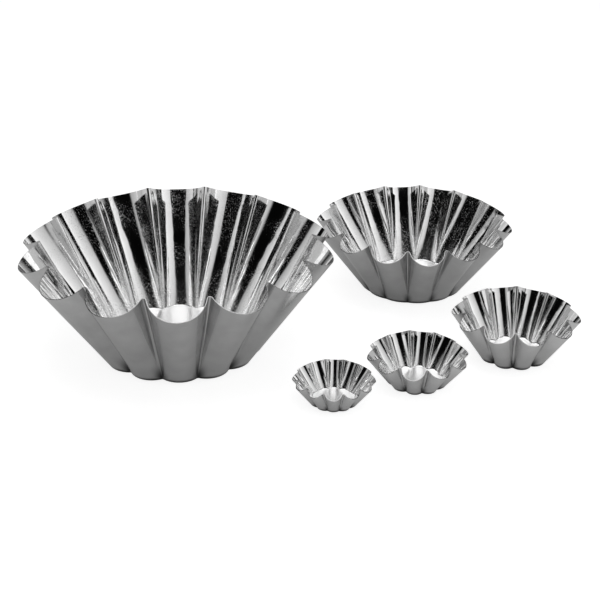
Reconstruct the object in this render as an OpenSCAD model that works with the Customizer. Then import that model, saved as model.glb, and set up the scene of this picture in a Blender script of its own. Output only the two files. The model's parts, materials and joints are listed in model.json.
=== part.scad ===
// Set of five graduated fluted brioche moulds, standing side by side.
// Each mould is one pressed sheet of tinplate. It has a flat base, a bend, and a flaring wall
// of round flutes parted by narrow folds that point inwards. The flutes are shallow at the
// base's edge and deepen towards the rim. The rim is the raw cut edge of the blank, so it
// dips at every flute and rises at every fold.
// Origin: centre of the largest mould's base, on the surface that the moulds stand on. +Z up.
// Angles are seen from above, anticlockwise from +X. The front of the set faces -Y.

/* [Sheet] */
// Thickness of the tinplate
sheet_t = 0.5; // [0.3:0.1:0.8]

/* [Largest mould] */
// Diameter across the rim, over the flutes
largest_rim_d = 240; // [220:1:270]
// Diameter across the base, over the flutes
largest_base_d = 127; // [110:1:136]
// Depth of a flute at the rim, from its crest to the tip of a fold
largest_rim_flute = 17; // [13:0.5:21]
// Depth of a flute at the edge of the base
largest_base_flute = 4.4; // [1:0.1:7]
// Height of the rim at the crest of a flute
largest_crest_h = 80; // [68:1:86]
// Height of the rim at a fold
largest_fold_h = 90; // [88:1:106]
// Number of flutes
largest_flutes = 14; // [11:1:16]
// Radius inside a fold
largest_fold_r = 1.8; // [1.4:0.1:3]
// Length of the bend between the base and the wall, on each side of the corner
largest_bend = 1.4; // [0.8:0.1:5]
// Direction of the front flute
largest_turn = -85.5; // [-100:0.5:-80]

/* [Large mould] */
// Diameter across the rim, over the flutes
large_rim_d = 163; // [148:1:178]
// Diameter across the base, over the flutes
large_base_d = 85.5; // [76:0.5:96]
// Depth of a flute at the rim, from its crest to the tip of a fold
large_rim_flute = 11.5; // [9:0.5:14]
// Depth of a flute at the edge of the base
large_base_flute = 0.8; // [0.3:0.1:4]
// Height of the rim at the crest of a flute
large_crest_h = 52.5; // [46:0.5:58]
// Height of the rim at a fold
large_fold_h = 59.5; // [58.5:0.5:70]
// Number of flutes
large_flutes = 14; // [11:1:16]
// Radius inside a fold
large_fold_r = 1.8; // [1.2:0.1:2.4]
// Length of the bend between the base and the wall, on each side of the corner
large_bend = 1.2; // [0.8:0.1:4]
// Direction of the front flute
large_turn = -85; // [-100:1:-75]

/* [Medium mould] */
// Diameter across the rim, over the flutes
medium_rim_d = 98.5; // [90:0.5:108]
// Diameter across the base, over the flutes
medium_base_d = 53; // [46:0.5:58]
// Depth of a flute at the rim, from its crest to the tip of a fold
medium_rim_flute = 9; // [7:0.5:11]
// Depth of a flute at the edge of the base
medium_base_flute = 3; // [1:0.1:4.5]
// Height of the rim at the crest of a flute
medium_crest_h = 33; // [29:0.5:37]
// Height of the rim at a fold
medium_fold_h = 39; // [38:0.5:46]
// Number of flutes
medium_flutes = 10; // [8:1:12]
// Radius inside a fold
medium_fold_r = 1.4; // [1:0.1:2]
// Length of the bend between the base and the wall, on each side of the corner
medium_bend = 1.8; // [0.8:0.1:3]
// Direction of the front flute
medium_turn = -80; // [-95:1:-65]

/* [Small mould] */
// Diameter across the rim, over the flutes
small_rim_d = 76.5; // [70:0.5:83]
// Diameter across the base, over the flutes
small_base_d = 43.2; // [38:0.1:47]
// Depth of a flute at the rim, from its crest to the tip of a fold
small_rim_flute = 6.9; // [5:0.1:8]
// Depth of a flute at the edge of the base
small_base_flute = 2.3; // [0.8:0.1:3.5]
// Height of the rim at the crest of a flute
small_crest_h = 21.5; // [18:0.5:25]
// Height of the rim at a fold
small_fold_h = 26.5; // [25.5:0.5:31]
// Number of flutes
small_flutes = 10; // [8:1:12]
// Radius inside a fold
small_fold_r = 1.2; // [0.8:0.1:1.6]
// Length of the bend between the base and the wall, on each side of the corner
small_bend = 1.5; // [0.8:0.1:3]
// Direction of the front flute
small_turn = -100; // [-115:1:-85]

/* [Smallest mould] */
// Diameter across the rim, over the flutes
smallest_rim_d = 61; // [56:1:66]
// Diameter across the base, over the flutes
smallest_base_d = 35; // [31:0.5:38]
// Depth of a flute at the rim, from its crest to the tip of a fold
smallest_rim_flute = 4; // [3:0.1:5]
// Depth of a flute at the edge of the base
smallest_base_flute = 1.1; // [0.4:0.1:2.4]
// Height of the rim at the crest of a flute
smallest_crest_h = 17; // [14:0.5:19]
// Height of the rim at a fold
smallest_fold_h = 20; // [19.5:0.5:24]
// Number of flutes
smallest_flutes = 12; // [9:1:14]
// Radius inside a fold
smallest_fold_r = 1; // [0.7:0.1:1.3]
// Length of the bend between the base and the wall, on each side of the corner
smallest_bend = 1; // [0.6:0.1:2]
// Direction of the front flute
smallest_turn = -92; // [-105:1:-80]

/* [Layout] */
// Gap between the largest and the large mould's rims, seen from above
large_gap = 18.5; // [10:0.5:40]
// Gap between the large and the medium mould's rims
medium_gap = 15; // [10:0.5:30]
// Gap between the medium and the small mould's rims
small_gap = 1.2; // [1:0.1:12]
// Gap between the small and the smallest mould's rims
smallest_gap = 0.4; // [0.3:0.1:6]
// Direction from the largest mould to the large one
large_bearing = 31; // [28:0.5:40]
// Direction from the large mould to the medium one
medium_bearing = -61; // [-66:0.5:-58]
// Direction from the medium mould to the small one
small_bearing = -151; // [-155:0.5:-145]
// Direction from the small mould to the smallest one
smallest_bearing = -155; // [-158:0.5:-140]

/* [Hidden] */

tin = [0.72, 0.73, 0.75];
// Steps along a flute's arc, round a fold, and up the bend
flute_steps = 10;
fold_steps = 6;
bend_steps = 3;

// A step of the given length in the given direction
function along(bearing, reach) = reach * [cos(bearing), sin(bearing)];

largest_at = [0, 0];
large_at = largest_at + along(large_bearing, (largest_rim_d + large_rim_d) / 2 + large_gap);
medium_at = large_at + along(medium_bearing, (large_rim_d + medium_rim_d) / 2 + medium_gap);
small_at = medium_at + along(small_bearing, (medium_rim_d + small_rim_d) / 2 + small_gap);
smallest_at = small_at + along(smallest_bearing, (small_rim_d + smallest_rim_d) / 2 + smallest_gap);

// Plan outline of the rim or the base, anticlockwise, starting at a fold beside the flute at angle 0.
// Each flute is one arc, and each fold is a small arc that meets its two flutes smoothly.
function fluted_outline(crest_r, tip_r, fold_r, flutes) =
    let (
        half = 180 / flutes,
        fold_at = tip_r + fold_r,
        spread = crest_r - fold_at * cos(half),
        flute_r = (crest_r^2 + fold_at^2 - 2 * crest_r * fold_at * cos(half) - fold_r^2)
            / (2 * (spread + fold_r)),
        flute_at = crest_r - flute_r,
        reach = atan2(fold_at * sin(half), fold_at * cos(half) - flute_at)
    )
    [for (k = [0 : flutes - 1]) each concat(
        [for (i = [0 : flute_steps])
            along(k * 2 * half, flute_at)
            + along(k * 2 * half + reach * (2 * i / flute_steps - 1), flute_r)],
        [for (i = [1 : fold_steps - 1])
            along((2 * k + 1) * half, fold_at)
            + along(k * 2 * half + 180 + reach - 2 * (reach - half) * i / fold_steps, fold_r)]
    )];

// Height of the cut rim above a point of its outline
function rim_z(p, crest_r, tip_r, crest_h, fold_h) =
    crest_h + (fold_h - crest_h) * (crest_r - norm(p)) / (crest_r - tip_r);

// A point of the bend (s from 0 at the base to 1 at the wall), and its direction there
function bend_point(s, inner, corner, wall) =
    (1 - s)^2 * inner + 2 * s * (1 - s) * corner + s^2 * wall;
function bend_way(s, inner, corner, wall) =
    (1 - s) * (corner - inner) + s * (wall - corner);

function unit(v) = v / norm(v);

// The sheet's inside, one thickness in from a ring of points on its outside
function inside_of(ring, ways) =
    let (n = len(ring))
    [for (j = [0 : n - 1])
        ring[j] - sheet_t * unit(cross(ring[(j + 1) % n] - ring[(j + n - 1) % n], ways[j]))];

// One mould, standing on z = 0 at its own centre, with a flute at angle 0
module pressed_mould(rim_d, base_d, rim_flute, base_flute, crest_h, fold_h, flutes, fold_r, bend) {
    crest_r = rim_d / 2;
    tip_r = crest_r - rim_flute;

    rim = [for (p = fluted_outline(crest_r, tip_r, fold_r, flutes))
        [p[0], p[1], rim_z(p, crest_r, tip_r, crest_h, fold_h)]];
    corner = [for (p = fluted_outline(base_d / 2, base_d / 2 - base_flute, fold_r, flutes))
        [p[0], p[1], 0]];
    n = len(rim);
    inner = [for (c = corner) c - bend * unit(c)];
    wall = [for (j = [0 : n - 1]) corner[j] + bend * unit(rim[j] - corner[j])];

    steps = [for (i = [0 : bend_steps]) i / bend_steps];
    outside = concat(
        [for (s = steps) [for (j = [0 : n - 1]) bend_point(s, inner[j], corner[j], wall[j])]],
        [rim]);
    ways = concat(
        [for (s = steps) [for (j = [0 : n - 1]) bend_way(s, inner[j], corner[j], wall[j])]],
        [[for (j = [0 : n - 1]) rim[j] - corner[j]]]);
    rings = len(outside);
    inside = [for (i = [0 : rings - 1]) inside_of(outside[i], ways[i])];
    points = concat([for (ring = outside) each ring], [for (ring = inside) each ring],
        [[0, 0, 0], [0, 0, sheet_t]]);
    top = rings - 1;
    under = 2 * rings * n;
    floor = under + 1;

    function out(i, j) = i * n + j % n;
    function in(i, j) = (rings + i) * n + j % n;

    faces = concat(
        [for (j = [0 : n - 1]) each [
            [under, out(0, j), out(0, j + 1)],
            [floor, in(0, j + 1), in(0, j)]]],
        [for (i = [0 : top - 1], j = [0 : n - 1]) each [
            [out(i, j), out(i + 1, j), out(i + 1, j + 1)],
            [out(i, j), out(i + 1, j + 1), out(i, j + 1)],
            [in(i, j), in(i + 1, j + 1), in(i + 1, j)],
            [in(i, j), in(i, j + 1), in(i + 1, j + 1)]]],
        [for (j = [0 : n - 1]) each [
            [out(top, j), in(top, j), in(top, j + 1)],
            [out(top, j), in(top, j + 1), out(top, j + 1)]]]
    );
    polyhedron(points, faces, convexity = 10);
}

module largest_mould() {
    color(tin) translate(largest_at) rotate(largest_turn) pressed_mould(
        rim_d = largest_rim_d, base_d = largest_base_d,
        rim_flute = largest_rim_flute, base_flute = largest_base_flute,
        crest_h = largest_crest_h, fold_h = largest_fold_h,
        flutes = largest_flutes, fold_r = largest_fold_r, bend = largest_bend);
}

module large_mould() {
    color(tin) translate(large_at) rotate(large_turn) pressed_mould(
        rim_d = large_rim_d, base_d = large_base_d,
        rim_flute = large_rim_flute, base_flute = large_base_flute,
        crest_h = large_crest_h, fold_h = large_fold_h,
        flutes = large_flutes, fold_r = large_fold_r, bend = large_bend);
}

module medium_mould() {
    color(tin) translate(medium_at) rotate(medium_turn) pressed_mould(
        rim_d = medium_rim_d, base_d = medium_base_d,
        rim_flute = medium_rim_flute, base_flute = medium_base_flute,
        crest_h = medium_crest_h, fold_h = medium_fold_h,
        flutes = medium_flutes, fold_r = medium_fold_r, bend = medium_bend);
}

module small_mould() {
    color(tin) translate(small_at) rotate(small_turn) pressed_mould(
        rim_d = small_rim_d, base_d = small_base_d,
        rim_flute = small_rim_flute, base_flute = small_base_flute,
        crest_h = small_crest_h, fold_h = small_fold_h,
        flutes = small_flutes, fold_r = small_fold_r, bend = small_bend);
}

module smallest_mould() {
    color(tin) translate(smallest_at) rotate(smallest_turn) pressed_mould(
        rim_d = smallest_rim_d, base_d = smallest_base_d,
        rim_flute = smallest_rim_flute, base_flute = smallest_base_flute,
        crest_h = smallest_crest_h, fold_h = smallest_fold_h,
        flutes = smallest_flutes, fold_r = smallest_fold_r, bend = smallest_bend);
}

largest_mould();
large_mould();
medium_mould();
small_mould();
smallest_mould();
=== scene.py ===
import json
from collections import namedtuple
from math import atan2, cos, pi, radians, sin

import bpy
from mathutils import Matrix, Vector


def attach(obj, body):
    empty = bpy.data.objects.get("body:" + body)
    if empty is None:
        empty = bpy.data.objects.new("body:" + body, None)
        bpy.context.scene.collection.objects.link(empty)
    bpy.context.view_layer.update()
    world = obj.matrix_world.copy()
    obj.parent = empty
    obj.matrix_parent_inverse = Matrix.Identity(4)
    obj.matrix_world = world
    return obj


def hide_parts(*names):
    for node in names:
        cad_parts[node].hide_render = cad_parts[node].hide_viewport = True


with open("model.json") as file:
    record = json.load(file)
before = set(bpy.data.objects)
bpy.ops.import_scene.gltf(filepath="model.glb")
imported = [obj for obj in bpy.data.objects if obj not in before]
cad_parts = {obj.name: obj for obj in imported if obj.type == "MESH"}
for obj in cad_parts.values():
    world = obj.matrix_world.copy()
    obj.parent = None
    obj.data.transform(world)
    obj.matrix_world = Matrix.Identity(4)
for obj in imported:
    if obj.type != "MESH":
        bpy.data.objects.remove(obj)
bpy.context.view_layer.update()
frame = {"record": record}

MM = 0.001

# Camera, at the photograph's viewing angle: place in metres, angles in degrees, focal length and frame in
# pixels, and sensor width in millimetres
CAMERA_AT = Vector((93.8, -1017.4, 552.9)) * MM
CAMERA_PITCH = 26.83
CAMERA_ROLL = 0.45
FOCAL_PIXELS = 1476
PHOTO_PIXELS = 600
SENSOR = 36.0


def make_camera():
    data = bpy.data.cameras.new("camera")
    data.sensor_width = SENSOR
    data.lens = SENSOR * FOCAL_PIXELS / PHOTO_PIXELS
    camera = bpy.data.objects.new("camera", data)
    bpy.context.scene.collection.objects.link(camera)
    tilt = Matrix.Rotation(radians(90 - CAMERA_PITCH), 4, "X")
    roll = Matrix.Rotation(radians(CAMERA_ROLL), 4, "Z")
    camera.matrix_world = Matrix.Translation(CAMERA_AT) @ tilt @ roll
    bpy.context.scene.camera = camera


# The moulds' sizes in millimetres, as in the part's own source: diameters over the flutes and depths of a
# flute at the rim and the base, heights of the rim at a flute and at a fold, number of flutes, radius of a
# fold, reach of the bend at the base, and the mould's turn in degrees
MOULDS = {
    "largest": dict(rim_d=240, base_d=127, rim_flute=17, base_flute=4.4, crest_h=80, fold_h=90,
                    flutes=14, fold_r=1.8, bend=1.4, turn=-85.5),
    "large": dict(rim_d=163, base_d=85.5, rim_flute=11.5, base_flute=0.8, crest_h=52.5, fold_h=59.5,
                  flutes=14, fold_r=1.8, bend=1.2, turn=-85),
    "medium": dict(rim_d=98.5, base_d=53, rim_flute=9, base_flute=3, crest_h=33, fold_h=39,
                   flutes=10, fold_r=1.4, bend=1.8, turn=-80),
    "small": dict(rim_d=76.5, base_d=43.2, rim_flute=6.9, base_flute=2.3, crest_h=21.5, fold_h=26.5,
                  flutes=10, fold_r=1.2, bend=1.5, turn=-100),
    "smallest": dict(rim_d=61, base_d=35, rim_flute=4, base_flute=1.1, crest_h=17, fold_h=20,
                     flutes=12, fold_r=1.0, bend=1.0, turn=-92),
}

# The sheet's thickness in millimetres
SHEET = 0.5

# Steps of the mesh along one flute, one fold, the bend and the wall
FLUTE_STEPS = 28
FOLD_STEPS = 12
BEND_STEPS = 8
WALL_STEPS = 10

# V is 0 where the wall starts and 1 at the rim. It falls by this much over the bend, and on to its value at
# the middle of the base.
BEND_SPAN = 0.06
MIDDLE_V = -1

SHARP_ANGLE = radians(60)

# Material slots of a mould's mesh. The first two are also the sheet's two sides.
OUTSIDE, INSIDE, EDGE = range(3)


def along(angle, reach):
    return Vector((reach * cos(angle), reach * sin(angle)))


def fluted_outline(crest_r, tip_r, fold_r, flutes):
    """Plan outline of the rim or the base, anticlockwise: flutes as arcs joined by small fold arcs."""
    half = pi / flutes
    fold_at = tip_r + fold_r
    spread = crest_r - fold_at * cos(half)
    squared_gap = crest_r ** 2 + fold_at ** 2 - 2 * crest_r * fold_at * cos(half)
    flute_r = (squared_gap - fold_r ** 2) / (2 * (spread + fold_r))
    flute_at = crest_r - flute_r
    reach = atan2(fold_at * sin(half), fold_at * cos(half) - flute_at)
    points = []
    for k in range(flutes):
        middle = 2 * half * k
        for i in range(FLUTE_STEPS + 1):
            turn = middle + reach * (2 * i / FLUTE_STEPS - 1)
            points.append(along(middle, flute_at) + along(turn, flute_r))
        for i in range(1, FOLD_STEPS):
            turn = middle + pi + reach - 2 * (reach - half) * i / FOLD_STEPS
            points.append(along(middle + half, fold_at) + along(turn, fold_r))
    return points


def rim_line(m):
    """The rim, which rises from each flute to the folds beside it."""
    crest_r = m["rim_d"] / 2
    tip_r = crest_r - m["rim_flute"]
    rim = []
    for p in fluted_outline(crest_r, tip_r, m["fold_r"], m["flutes"]):
        rise = (m["fold_h"] - m["crest_h"]) * (crest_r - p.length) / (crest_r - tip_r)
        rim.append(Vector((p.x, p.y, m["crest_h"] + rise)))
    return rim


def mould_rings(m):
    """Rings of points on the sheet's outside from the base's edge to the rim, with the way up at each."""
    base_r = m["base_d"] / 2
    base = fluted_outline(base_r, base_r - m["base_flute"], m["fold_r"], m["flutes"])
    rim = rim_line(m)
    corner = [Vector((p.x, p.y, 0)) for p in base]
    inner = [c - m["bend"] * c.normalized() for c in corner]
    wall = [c + m["bend"] * (r - c).normalized() for c, r in zip(corner, rim)]
    bend = list(zip(inner, corner, wall))
    rings, ways = [], []
    for step in range(BEND_STEPS + 1):
        s = step / BEND_STEPS
        t = 1 - s
        rings.append([t ** 2 * a + 2 * s * t * b + s * s * c for a, b, c in bend])
        ways.append([t * (b - a) + s * (c - b) for a, b, c in bend])
    for step in range(1, WALL_STEPS + 1):
        s = step / WALL_STEPS
        rings.append([a.lerp(b, s) for a, b in zip(wall, rim)])
        ways.append([b - a for a, b in zip(wall, rim)])
    return rings, ways


def inner_rings(rings, ways):
    """The rings' places on the sheet's inside, one thickness in from its outside."""
    n = len(rings[0])
    inside = []
    for ring, way in zip(rings, ways):
        out = [(ring[(j + 1) % n] - ring[j - 1]).cross(way[j]).normalized() for j in range(n)]
        inside.append([p - SHEET * o for p, o in zip(ring, out)])
    return inside


def mould_mesh(name, m, first_flute):
    """One closed sheet with its outside, inside and cut edge. U counts flutes, with whole numbers at their
    middles, and V runs up the wall."""
    rings, ways = mould_rings(m)
    count, n = len(rings), len(rings[0])
    points = [p for ring in rings + inner_rings(rings, ways) for p in ring]
    points += [Vector((0, 0, 0)), Vector((0, 0, SHEET))]
    under, floor = len(points) - 2, len(points) - 1
    heights = [(i / BEND_STEPS - 1) * BEND_SPAN for i in range(BEND_STEPS + 1)]
    heights += [i / WALL_STEPS for i in range(1, WALL_STEPS + 1)]
    faces, kinds, places = [], [], []

    def flute_at(step):
        return first_flute + (step - FLUTE_STEPS / 2) / (FLUTE_STEPS + FOLD_STEPS)

    def corner(side, i, step):
        return (side * count + i) * n + step % n, (flute_at(step), heights[i])

    def add_face(kind, *corners):
        faces.append([index for index, place in corners])
        kinds.append(kind)
        for index, place in corners:
            places.extend(place)

    top = count - 1
    for j in range(n):
        middle = ((flute_at(j) + flute_at(j + 1)) / 2, MIDDLE_V)
        add_face(OUTSIDE, (under, middle), corner(OUTSIDE, 0, j + 1), corner(OUTSIDE, 0, j))
        add_face(INSIDE, (floor, middle), corner(INSIDE, 0, j), corner(INSIDE, 0, j + 1))
        for i in range(top):
            around = ((i, j), (i, j + 1), (i + 1, j + 1), (i + 1, j))
            a, b, c, d = [corner(OUTSIDE, *at) for at in around]
            add_face(OUTSIDE, a, b, c, d)
            a, b, c, d = [corner(INSIDE, *at) for at in around]
            add_face(INSIDE, a, d, c, b)
        add_face(EDGE, corner(OUTSIDE, top, j), corner(OUTSIDE, top, j + 1),
                 corner(INSIDE, top, j + 1), corner(INSIDE, top, j))
    mesh = bpy.data.meshes.new(name)
    mesh.from_pydata([p * MM for p in points], [], faces)
    mesh.uv_layers.new(name="flutes").data.foreach_set("uv", places)
    mesh.polygons.foreach_set("material_index", kinds)
    mesh.polygons.foreach_set("use_smooth", [True] * len(faces))
    mesh.set_sharp_from_angle(angle=SHARP_ANGLE)
    mesh.update()
    return mesh


# Noise values between which a material changes from one look to the other
NOISE_LOW = 0.3
NOISE_HIGH = 0.7


def nodes_of(name):
    material = bpy.data.materials.new(name)
    material.use_nodes = True
    tree = material.node_tree
    return material, tree, tree.nodes["Principled BSDF"]


def feed(tree, value, slot):
    """Links a slot to another node's output, or sets it to a constant."""
    if isinstance(value, bpy.types.NodeSocket):
        tree.links.new(value, slot)
    else:
        slot.default_value = value


def math_node(tree, operation, *values):
    node = tree.nodes.new("ShaderNodeMath")
    node.operation = operation
    for value, slot in zip(values, node.inputs):
        feed(tree, value, slot)
    return node.outputs["Value"]


def product(tree, first, *others):
    for other in others:
        first = math_node(tree, "MULTIPLY", first, other)
    return first


def add_share(tree, value, share, start):
    """The start plus a share of the value."""
    return math_node(tree, "MULTIPLY_ADD", value, share, start)


def smooth_step(tree, value, low, high, to_low=0.0, to_high=1.0):
    node = tree.nodes.new("ShaderNodeMapRange")
    node.interpolation_type = "SMOOTHSTEP"
    limits = {"Value": value, "From Min": low, "From Max": high, "To Min": to_low, "To Max": to_high}
    for name, limit in limits.items():
        feed(tree, limit, node.inputs[name])
    return node.outputs["Result"]


def mixed(tree, kind, factor, first, second):
    """The first colour or number where the factor is 0, and the second where it is 1."""
    mix = tree.nodes.new("ShaderNodeMix")
    mix.data_type = kind
    for name, value in (("Factor", factor), ("A", first), ("B", second)):
        feed(tree, value, mix.inputs[name])
    return mix.outputs["Result"]


def even(count):
    return count, count, count


def noise_node(tree, place, counts, detail=2.0):
    """Noise over a place, with three counts of how often it changes along the place's axes."""
    scaled = tree.nodes.new("ShaderNodeVectorMath")
    scaled.operation = "MULTIPLY"
    feed(tree, place, scaled.inputs[0])
    feed(tree, counts, scaled.inputs[1])
    noise = tree.nodes.new("ShaderNodeTexNoise")
    feed(tree, scaled.outputs["Vector"], noise.inputs["Vector"])
    noise.inputs["Scale"].default_value = 1.0
    noise.inputs["Detail"].default_value = detail
    return noise.outputs["Fac"]


def bump_node(tree, height, depth, under=None):
    """Relief of the given depth in metres, over another relief if there is one."""
    relief = tree.nodes.new("ShaderNodeBump")
    relief.inputs["Strength"].default_value = 1.0
    relief.inputs["Distance"].default_value = depth
    feed(tree, height, relief.inputs["Height"])
    if under:
        feed(tree, under, relief.inputs["Normal"])
    return relief.outputs["Normal"]


def grey(level):
    return level, level, level, 1


def grey_ramp(tree, noise, dark, light):
    """A grey that runs from dark to light with the noise."""
    ramp = tree.nodes.new("ShaderNodeValToRGB")
    first, last = ramp.color_ramp.elements
    first.position, first.color = NOISE_LOW, grey(dark)
    last.position, last.color = NOISE_HIGH, grey(light)
    feed(tree, noise, ramp.inputs["Fac"])
    return ramp.outputs["Color"]


# How far the creases beside a fold reach, in flutes
FOLD_REACH = 0.26
HALF_FLUTE = 0.5

Spot = namedtuple("Spot", "place sheet up from_fold on_wall near_fold")


def spot_nodes(tree):
    """A point's place on the object and on the sheet, its V, its distance from a fold in flutes, whether it
    is on the wall, and its nearness to a fold there."""
    coordinates = tree.nodes.new("ShaderNodeTexCoord")
    axes = tree.nodes.new("ShaderNodeSeparateXYZ")
    feed(tree, coordinates.outputs["UV"], axes.inputs["Vector"])
    up = axes.outputs["Y"]
    from_fold = math_node(tree, "ADD", axes.outputs["X"], HALF_FLUTE)
    from_fold = math_node(tree, "PINGPONG", from_fold, HALF_FLUTE)
    on_wall = smooth_step(tree, up, -BEND_SPAN, 0.0)
    near_fold = product(tree, smooth_step(tree, from_fold, FOLD_REACH, 0.0), on_wall)
    return Spot(coordinates.outputs["Object"], coordinates.outputs["UV"], up, from_fold, on_wall, near_fold)


# Relief inside the largest mould: waves and hammering, counted to a metre, with depths in metres
WAVES = 45
WAVE_DETAIL = 1.0
WAVE_DEPTH = 0.0003
HAMMERING = (700, 700, 350)
HAMMER_DEPTH = 0.00004
# Creases to a flute: a few in any mould, and more times the mould's size over the largest one's. Then how
# often they change up the wall, their detail and depth on the largest, and the share of their depth away
# from the folds.
FEW_CREASES = 2
MORE_CREASES = 11
CREASE_CHANGES = 0.6
CREASE_DETAIL = 2
CREASE_DEPTH = 0.0006
CREASE_FLOOR = 0.1
# Depth shrinks with the mould's size to these powers
CREASE_POWER = 1.3
HAMMER_POWER = 3
# Moulds below this share of the largest one's size have calmer relief
CALM_BELOW = 0.4


def inside_relief(tree, spot, share):
    """Waves, creases beside the folds and faint hammering, all shallower in a smaller mould."""
    calm = min(1.0, (share / CALM_BELOW) ** 2)
    waves = noise_node(tree, spot.place, even(WAVES / share), WAVE_DETAIL)
    relief = bump_node(tree, waves, WAVE_DEPTH * share * calm)
    counts = (FEW_CREASES + MORE_CREASES * share, CREASE_CHANGES, 0)
    draws = noise_node(tree, spot.sheet, counts, CREASE_DETAIL * share)
    creases = product(tree, draws, add_share(tree, spot.near_fold, 1 - CREASE_FLOOR, CREASE_FLOOR))
    relief = bump_node(tree, creases, CREASE_DEPTH * share ** CREASE_POWER * calm, relief)
    hammered = product(tree, noise_node(tree, spot.place, HAMMERING), spot.near_fold)
    return bump_node(tree, hammered, HAMMER_DEPTH * share ** HAMMER_POWER, relief)


# Dull specks: counts to a metre, and the noise values between which they and their patches come up
SPECKS = (1300, 1300, 900)
SPECK_NOISE = (0.5, 0.7)
PATCHES = 40
PATCH_NOISE = (0.3, 0.6)
# Roughness of the base and of the wall's clean tin, and what specks, folds and the haze low on the wall add
BASE_ROUGHNESS = 0.3
CLEAN_ROUGHNESS = 0.06
SPECK_ROUGHNESS = 0.3
FOLD_ROUGHNESS = 0.05
HAZE_ROUGHNESS = 0.17
# The haze's height as a share of the wall, and how much both get less with the mould's size
HAZE_HEIGHT = 0.95
HAZE_HEIGHT_LOSS = 0.45
HAZE_LOSS = 0.05
# Moulds below this share of the largest one's size have fainter specks
SPECKED_ABOVE = 0.65


def inside_roughness(tree, spot, share):
    """Near mirror on the wall and satin on the base, with specks and a haze low on the wall."""
    specks = smooth_step(tree, noise_node(tree, spot.place, SPECKS), *SPECK_NOISE)
    patches = smooth_step(tree, noise_node(tree, spot.place, even(PATCHES)), *PATCH_NOISE)
    off_fold = add_share(tree, spot.near_fold, share - 1, 1.0)
    specks = product(tree, specks, patches, spot.on_wall, off_fold)
    low_wall = smooth_step(tree, spot.up, HAZE_HEIGHT - HAZE_HEIGHT_LOSS * share, 0.0)
    haze = HAZE_ROUGHNESS - HAZE_LOSS * share
    dull = smooth_step(tree, spot.on_wall, 0.0, 1.0, BASE_ROUGHNESS - haze, CLEAN_ROUGHNESS)
    dull = add_share(tree, low_wall, haze, dull)
    dull = add_share(tree, specks, SPECK_ROUGHNESS * min(1.0, (share / SPECKED_ABOVE) ** 2), dull)
    return add_share(tree, spot.near_fold, FOLD_ROUGHNESS, dull)


# Colour inside: the tin's clouds to a metre, their detail and their two greys, and the base
INSIDE_CLOUDS = 60
INSIDE_CLOUD_DETAIL = 4.0
INSIDE_GREYS = (0.88, 0.96)
BASE_GREY = 0.98
BASE_METALLIC = 0.7


def make_inside(name, share):
    """Mirror-like tin. Share is the mould's size over the largest one's."""
    material, tree, shader = nodes_of(name)
    spot = spot_nodes(tree)
    clouds = noise_node(tree, spot.place, even(INSIDE_CLOUDS), INSIDE_CLOUD_DETAIL)
    tin = grey_ramp(tree, clouds, *INSIDE_GREYS)
    feed(tree, mixed(tree, "RGBA", spot.on_wall, grey(BASE_GREY), tin), shader.inputs["Base Color"])
    feed(tree, smooth_step(tree, spot.on_wall, 0.0, 1.0, BASE_METALLIC, 1.0), shader.inputs["Metallic"])
    feed(tree, inside_roughness(tree, spot, share), shader.inputs["Roughness"])
    feed(tree, inside_relief(tree, spot, share), shader.inputs["Normal"])
    return material


# Painted shade at the foot of a fold on the largest mould: its reach and its darkest part to each side in
# flutes, its height and its darkest part as shares of the wall, and the power by which it gets taller on a
# smaller one
FOOT_SHADE_REACH = 0.32
FOOT_SHADE_CORE = 0.12
FOOT_SHADE_HEIGHT = 0.22
FOOT_SHADE_CORE_HEIGHT = 0.02
FOOT_SHADE_POWER = 0.4
# Painted contact shadow, a dark line round the base: its height on the largest mould, and where it ends
# under the base, in V
BASE_SHADOW_LINE = 0.045
BASE_SHADOW_UNDER_REACH = -0.15


def painted_foot_shade(tree, spot, share):
    """How deep a point lies in the painted shade at the foot of a fold or in the painted contact shadow
    round the base.
    """
    beside = smooth_step(tree, spot.from_fold, FOOT_SHADE_REACH, FOOT_SHADE_CORE)
    low = smooth_step(tree, spot.up, FOOT_SHADE_HEIGHT / share ** FOOT_SHADE_POWER, FOOT_SHADE_CORE_HEIGHT)
    shadow_line = smooth_step(tree, spot.up, BASE_SHADOW_LINE / share, 0.0)
    foot_shade = math_node(tree, "MAXIMUM", product(tree, beside, low), shadow_line)
    return product(tree, foot_shade, smooth_step(tree, spot.up, BASE_SHADOW_UNDER_REACH, -BEND_SPAN))


# Painted shade in streaks beside the folds outside, where the creases lie in shade: counts to a flute and
# to the wall's height, the noise values and the nearness to a fold between which they come up, and how dark
# they get
SHADE_STREAKS = (14, 1.2, 0)
SHADE_STREAK_NOISE = (0.42, 0.62)
SHADE_STREAK_NEARNESS = (0.1, 0.5)
SHADE_STREAK_DARKNESS = 0.55


def painted_fold_shade_streaks(tree, spot):
    """Streaks of painted shade beside the folds."""
    streaks = smooth_step(tree, noise_node(tree, spot.sheet, SHADE_STREAKS), *SHADE_STREAK_NOISE)
    return product(tree, streaks, smooth_step(tree, spot.near_fold, *SHADE_STREAK_NEARNESS, 0.0, SHADE_STREAK_DARKNESS))


# Relief outside: press lines, counted as the streaks are, and grain, counted to a metre, with depths in
# metres
PRESS_LINES = (30, 1.5, 0)
PRESS_DEPTH = 0.0001
# Press lines keep this share of their depth away from the folds
PRESS_FLOOR = 0.2
GRAIN = 900
GRAIN_DEPTH = 0.00001

# Colour and roughness outside: each mould's tone, lighter on the three smaller moulds, partly painted light
# for how brightly their outsides catch the light, clouds to a metre, their detail, how far they change the
# tone, the grey of the painted shade in feet and streaks, and the roughness of dark and light clouds
OUTSIDE_TONE_AND_LIGHT = {"largest": 0.57, "large": 0.55, "medium": 0.66, "small": 0.71, "smallest": 0.7}
OUTSIDE_CLOUDS = 70
OUTSIDE_CLOUD_DETAIL = 5.0
TONE_CHANGE = 0.04
SHADE_GREY = 0.04
OUTSIDE_ROUGHNESS = (0.16, 0.24)


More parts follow.
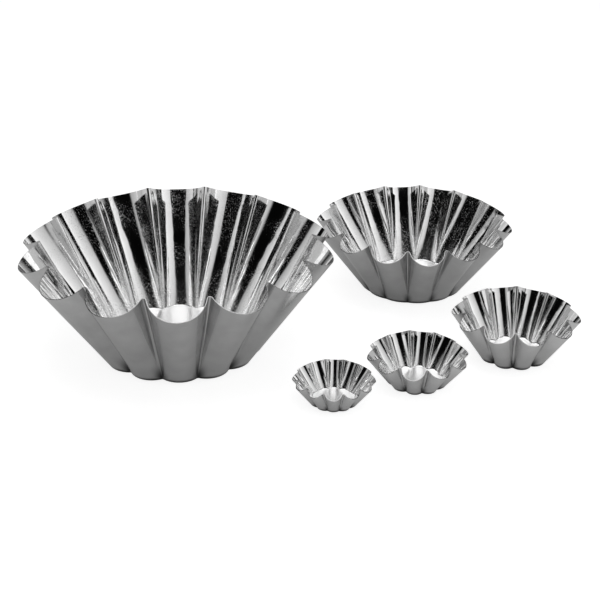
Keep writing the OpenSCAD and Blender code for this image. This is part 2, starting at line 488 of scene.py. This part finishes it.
def make_outside(name, share, tone):
    """Satin grey tin, dulled by the press, with painted shade in the feet of the folds and in streaks
    beside them, and a painted contact shadow as a dark line round the base."""
    material, tree, shader = nodes_of(name)
    spot = spot_nodes(tree)
    clouds = noise_node(tree, spot.place, even(OUTSIDE_CLOUDS), OUTSIDE_CLOUD_DETAIL)
    clean = grey_ramp(tree, clouds, tone - TONE_CHANGE, tone + TONE_CHANGE)
    # Painted shade: the feet of the folds, the contact shadow round the base and the streaks beside the
    # folds darken the tin towards the shade grey
    dark = math_node(tree, "MAXIMUM", painted_foot_shade(tree, spot, share), painted_fold_shade_streaks(tree, spot))
    feed(tree, mixed(tree, "RGBA", dark, clean, grey(SHADE_GREY)), shader.inputs["Base Color"])
    shader.inputs["Metallic"].default_value = 1.0
    rough = smooth_step(tree, clouds, NOISE_LOW, NOISE_HIGH, *OUTSIDE_ROUGHNESS)
    feed(tree, rough, shader.inputs["Roughness"])
    lines = noise_node(tree, spot.sheet, PRESS_LINES)
    lines = product(tree, lines, add_share(tree, spot.near_fold, 1 - PRESS_FLOOR, PRESS_FLOOR))
    relief = bump_node(tree, lines, PRESS_DEPTH * share)
    relief = bump_node(tree, noise_node(tree, spot.place, even(GRAIN)), GRAIN_DEPTH, relief)
    feed(tree, relief, shader.inputs["Normal"])
    return material


# Cut edge: burrs to a metre, their depth in metres, and their greys and roughness
BURRS = 700
BURR_DEPTH = 0.00003
EDGE_GREYS = (0.42, 0.55)
EDGE_ROUGHNESS = (0.2, 0.35)


def make_edge(name):
    """The sheet's cut edge, with fine burrs."""
    material, tree, shader = nodes_of(name)
    place = tree.nodes.new("ShaderNodeTexCoord").outputs["Object"]
    burrs = noise_node(tree, place, even(BURRS))
    feed(tree, grey_ramp(tree, burrs, *EDGE_GREYS), shader.inputs["Base Color"])
    shader.inputs["Metallic"].default_value = 1.0
    rough = smooth_step(tree, burrs, NOISE_LOW, NOISE_HIGH, *EDGE_ROUGHNESS)
    feed(tree, rough, shader.inputs["Roughness"])
    feed(tree, bump_node(tree, burrs, BURR_DEPTH), shader.inputs["Normal"])
    return material


def make_moulds():
    """One piece for each mould. Flutes are counted on from mould to mould, so no two crease alike."""
    centres = {mount["name"]: Vector(mount["pos_m"]) for mount in frame["record"]["mounts"]}
    first_flute = 0
    for name, sizes in MOULDS.items():
        mesh = mould_mesh(name + "_sheet", sizes, first_flute)
        first_flute += sizes["flutes"]
        share = sizes["rim_d"] / MOULDS["largest"]["rim_d"]
        mesh.materials.append(make_outside(name + "_outside", share, OUTSIDE_TONE_AND_LIGHT[name]))
        mesh.materials.append(make_inside(name + "_inside", share))
        mesh.materials.append(make_edge(name + "_edge"))
        turned = Matrix.Rotation(radians(sizes["turn"]), 4, "Z")
        mesh.transform(Matrix.Translation(centres[name + "_base"]) @ turned)
        piece = bpy.data.objects.new(name + "_sheet", mesh)
        bpy.context.scene.collection.objects.link(piece)
        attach(piece, name)
        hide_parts(name + "_mould")


# Floor: half its width and its drop below the moulds in metres, its grey and roughness
FLOOR_REACH = 30.0
FLOOR_DROP = 0.0002
FLOOR_GREY = 0.5
FLOOR_ROUGHNESS = 0.9
# Its brightness to the camera and in the tin, and how far and how strongly the moulds darken it in the tin
FLOOR_FILL = 0.87
MIRRORED_FILL = 0.38
FLOOR_SHADE_REACH = 0.15
FLOOR_SHADE_POWER = 0.5


def make_floor():
    """A white floor that keeps the moulds' shadows. Part of its white is its own, not the lamps'."""
    mesh = bpy.data.meshes.new("studio_floor")
    corners = [(x, y, 0) for x, y in ((-1, -1), (1, -1), (1, 1), (-1, 1))]
    mesh.from_pydata([Vector(corner) * FLOOR_REACH for corner in corners], [], [range(4)])
    floor = bpy.data.objects.new("studio_floor", mesh)
    floor.location.z = -FLOOR_DROP
    bpy.context.scene.collection.objects.link(floor)
    material, tree, shader = nodes_of("floor_white")
    shader.inputs["Base Color"].default_value = grey(FLOOR_GREY)
    shader.inputs["Roughness"].default_value = FLOOR_ROUGHNESS
    shader.inputs["Specular IOR Level"].default_value = 0.0
    ray = tree.nodes.new("ShaderNodeLightPath").outputs
    shade = tree.nodes.new("ShaderNodeAmbientOcclusion")
    shade.inputs["Distance"].default_value = FLOOR_SHADE_REACH
    mirrored = math_node(tree, "MAXIMUM", ray["Is Glossy Ray"], ray["Is Transmission Ray"])
    shaded = math_node(tree, "POWER", shade.outputs["AO"], FLOOR_SHADE_POWER)
    mirrored = product(tree, mirrored, shaded, MIRRORED_FILL)
    seen = product(tree, ray["Is Camera Ray"], FLOOR_FILL)
    shader.inputs["Emission Color"].default_value = grey(1)
    feed(tree, math_node(tree, "MAXIMUM", seen, mirrored), shader.inputs["Emission Strength"])
    mesh.materials.append(material)


# Room: a pale horizon that carries the floor on, dark in front and grey behind. X, Y and Z are those of the
# direction, from -1 to 1.
HORIZON_LEVEL = 0.5
HORIZON_TOP_Z = (sin(radians(14)), sin(radians(10)))
HORIZON_BACK_Y = (0.35, 0.15)
FRONT_LEVEL = 0.0015
BACK_LEVEL = 0.4
BACK_Y = (0.3, 0.75)


def make_world():
    world = bpy.data.worlds.new("studio")
    bpy.context.scene.world = world
    world.use_nodes = True
    tree = world.node_tree
    axes = tree.nodes.new("ShaderNodeSeparateXYZ")
    feed(tree, tree.nodes.new("ShaderNodeTexCoord").outputs["Generated"], axes.inputs["Vector"])
    y, z = axes.outputs["Y"], axes.outputs["Z"]
    room = add_share(tree, smooth_step(tree, y, *BACK_Y), BACK_LEVEL - FRONT_LEVEL, FRONT_LEVEL)
    horizon = product(tree, smooth_step(tree, z, *HORIZON_TOP_Z), smooth_step(tree, y, *HORIZON_BACK_Y))
    level = mixed(tree, "FLOAT", horizon, room, HORIZON_LEVEL)
    feed(tree, level, tree.nodes["Background"].inputs["Color"])


# Softboxes at the sides: azimuth of the middle in degrees, 0 in front of the set and positive on its right,
# distance, width, lower and upper edge in metres, and level at the back edge
SIDE_SOFTBOXES = {
    "softbox_right": dict(azimuth=56, distance=1.11, width=1.9, low=0.3, high=1.14, level=1.03),
    "softbox_left": dict(azimuth=-65.5, distance=1.11, width=1.2, low=0.3, high=0.92, level=0.76),
}
# They dim to this share of their level towards the front, and fade out over this share of their width there
FRONT_SHARE = 0.42
FRONT_FADE = 0.2

# Softbox above the set
TOP_SOFTBOX_AT = (0.1, 0.0, 1.5)
TOP_SOFTBOX_WIDTH = 1.4
TOP_SOFTBOX_LEVEL = 1.5


def add_softbox(name, place, way, width, height, level):
    """A softbox that looks as bright at any width and height, for its level."""
    data = bpy.data.lights.new(name, "AREA")
    data.shape = "RECTANGLE"
    data.size, data.size_y = width, height
    data.energy = level * pi * width * height
    lamp = bpy.data.objects.new(name, data)
    lamp.location = place
    lamp.rotation_mode = "QUATERNION"
    lamp.rotation_quaternion = Vector(way).to_track_quat("-Z", "Y")
    lamp.visible_camera = False
    bpy.context.scene.collection.objects.link(lamp)
    return data


def dim_front(data, back_first):
    """Dims a side softbox towards its front edge. With back_first, its width starts at the back edge."""
    data.use_nodes = True
    tree = data.node_tree
    axes = tree.nodes.new("ShaderNodeSeparateXYZ")
    feed(tree, tree.nodes.new("ShaderNodeNewGeometry").outputs["Parametric"], axes.inputs["Vector"])
    from_front = axes.outputs["X"]
    if back_first:
        from_front = math_node(tree, "SUBTRACT", 1.0, from_front)
    dimmed = add_share(tree, from_front, 1 - FRONT_SHARE, FRONT_SHARE)
    faded = product(tree, dimmed, smooth_step(tree, from_front, 0.0, FRONT_FADE))
    feed(tree, faded, tree.nodes["Emission"].inputs["Strength"])


def make_lamps():
    for name, box in SIDE_SOFTBOXES.items():
        azimuth = radians(box["azimuth"])
        way = Vector((sin(azimuth), -cos(azimuth), 0))
        middle = way * box["distance"] + Vector((0, 0, (box["low"] + box["high"]) / 2))
        data = add_softbox(name, middle, -way, box["width"], box["high"] - box["low"], box["level"])
        dim_front(data, back_first=azimuth < 0)
    add_softbox("softbox_top", TOP_SOFTBOX_AT, (0, 0, -1),
                TOP_SOFTBOX_WIDTH, TOP_SOFTBOX_WIDTH, TOP_SOFTBOX_LEVEL)


make_camera()
make_moulds()
make_floor()
make_world()
make_lamps()
bpy.context.scene.view_settings.view_transform = "Standard"
